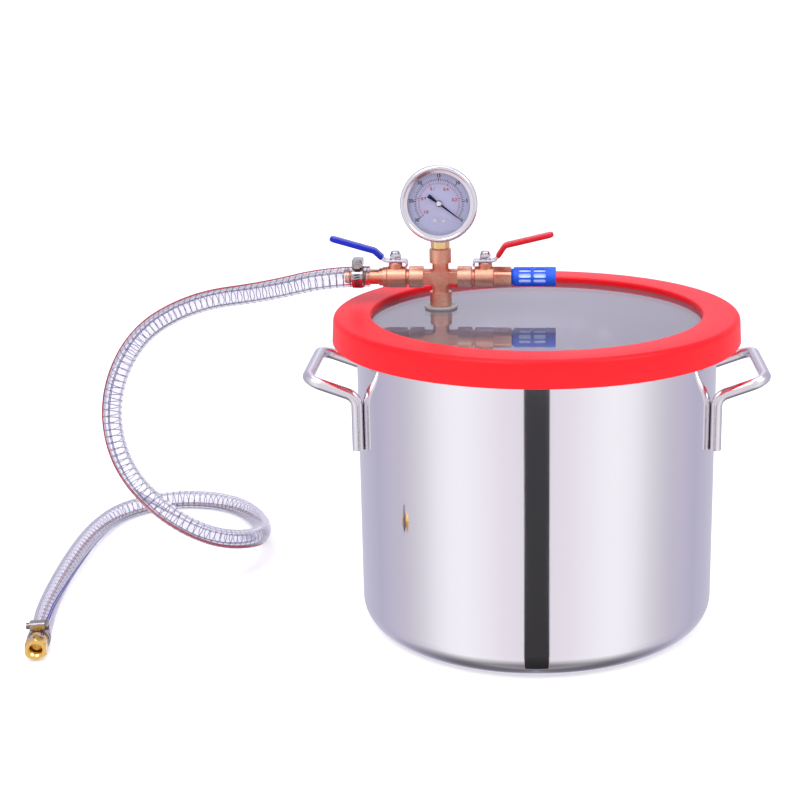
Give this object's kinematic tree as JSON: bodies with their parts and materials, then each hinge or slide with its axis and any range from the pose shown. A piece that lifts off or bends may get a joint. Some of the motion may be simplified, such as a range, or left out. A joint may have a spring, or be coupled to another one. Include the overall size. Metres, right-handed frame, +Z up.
{
  "type": "vacuum chamber",
  "caption": "Vacuum degassing chamber: steel pot with side handles, glass lid in a soft ring, brass valve manifold with gauge and a wire-wound hose.",
  "frame": {"origin": "centre of the pot's base, on the surface it stands on", "axes": "+Z up; +X towards the right handle and the vent valve; the gauge's dial faces -Y"},
  "size_m": [0.6339, 0.4484, 0.3852],
  "materials": {
    "pot_steel": "polished, upright brushing",
    "handle_steel": "polished",
    "red_rubber": "satin silicone",
    "lid_glass": "clear",
    "lens_glass": "clear",
    "clear_rubber": "translucent silicone",
    "brass": "cast and turned",
    "yellow_brass": "turned",
    "chrome": "bright",
    "case_steel": "satin",
    "lever_steel": "zinc plated",
    "clamp_steel": "stainless",
    "white_plastic": "ptfe",
    "white_felt": "sintered",
    "blue_plastic": "moulded",
    "blue_vinyl": "dipped vinyl",
    "red_vinyl": "dipped vinyl",
    "dial_paint": "satin",
    "black_paint": "satin",
    "clear_pvc": "clear, with a steel wire helix"
  },
  "bodies": {
    "chamber": {"pot": "pot_steel", "handle_left": "handle_steel", "handle_right": "handle_steel", "gasket_ring": "red_rubber", "glass_lid": "lid_glass", "port_washer_upper": "clear_rubber", "port_washer_lower": "clear_rubber", "port_nipple": "brass", "port_nut": "brass", "cross_fitting": "brass", "vent_valve_end": "brass", "hose_barb": "yellow_brass", "filter_cage": "blue_plastic", "filter_cap": "blue_plastic", "filter_element": "white_felt", "gauge_bezel": "chrome", "gauge_lens": "lens_glass", "gauge_case": "case_steel", "gauge_socket": "yellow_brass", "bourdon_tube": "yellow_brass", "gauge_dial": "dial_paint", "dial_screws": "chrome", "gauge_movement": "yellow_brass", "vacuum_hose": "clear_pvc", "end_fitting": "yellow_brass", "barb_clamp_band": "clamp_steel", "barb_clamp_screw": "clamp_steel", "end_clamp_band": "clamp_steel", "end_clamp_screw": "clamp_steel", "inlet_valve_body": "brass", "inlet_valve_seats": "white_plastic", "inlet_valve_gland": "white_plastic", "vent_valve_body": "brass", "vent_valve_seats": "white_plastic", "vent_valve_gland": "white_plastic"},
    "inlet_handle": {"inlet_lever": "lever_steel", "inlet_lever_sleeve": "blue_vinyl", "inlet_lever_washer": "lever_steel", "inlet_lever_nut": "chrome", "inlet_valve_stem": "brass", "inlet_valve_ball": "chrome"},
    "vent_handle": {"vent_lever": "lever_steel", "vent_lever_sleeve": "red_vinyl", "vent_lever_washer": "lever_steel", "vent_lever_nut": "chrome", "vent_valve_stem": "brass", "vent_valve_ball": "chrome"},
    "needle": {"gauge_pointer": "black_paint", "pointer_spindle": "yellow_brass"}
  },
  "joints": [
    {"name": "inlet_lever_turn", "type": "hinge", "parent": "chamber", "child": "inlet_handle", "pos_m": [-0.1194, 0.033, 0.2895], "axis": [0, 0, 1], "range_deg": [-90, 0]},
    {"name": "vent_lever_turn", "type": "hinge", "parent": "chamber", "child": "vent_handle", "pos_m": [-0.0436, 0.033, 0.2895], "axis": [0, 0, 1], "range_deg": [-90, 0]},
    {"name": "needle_turn", "type": "hinge", "parent": "chamber", "child": "needle", "pos_m": [-0.0815, 0.02, 0.353], "axis": [0, -1, 0], "range_deg": [0, 254]}
  ]
}
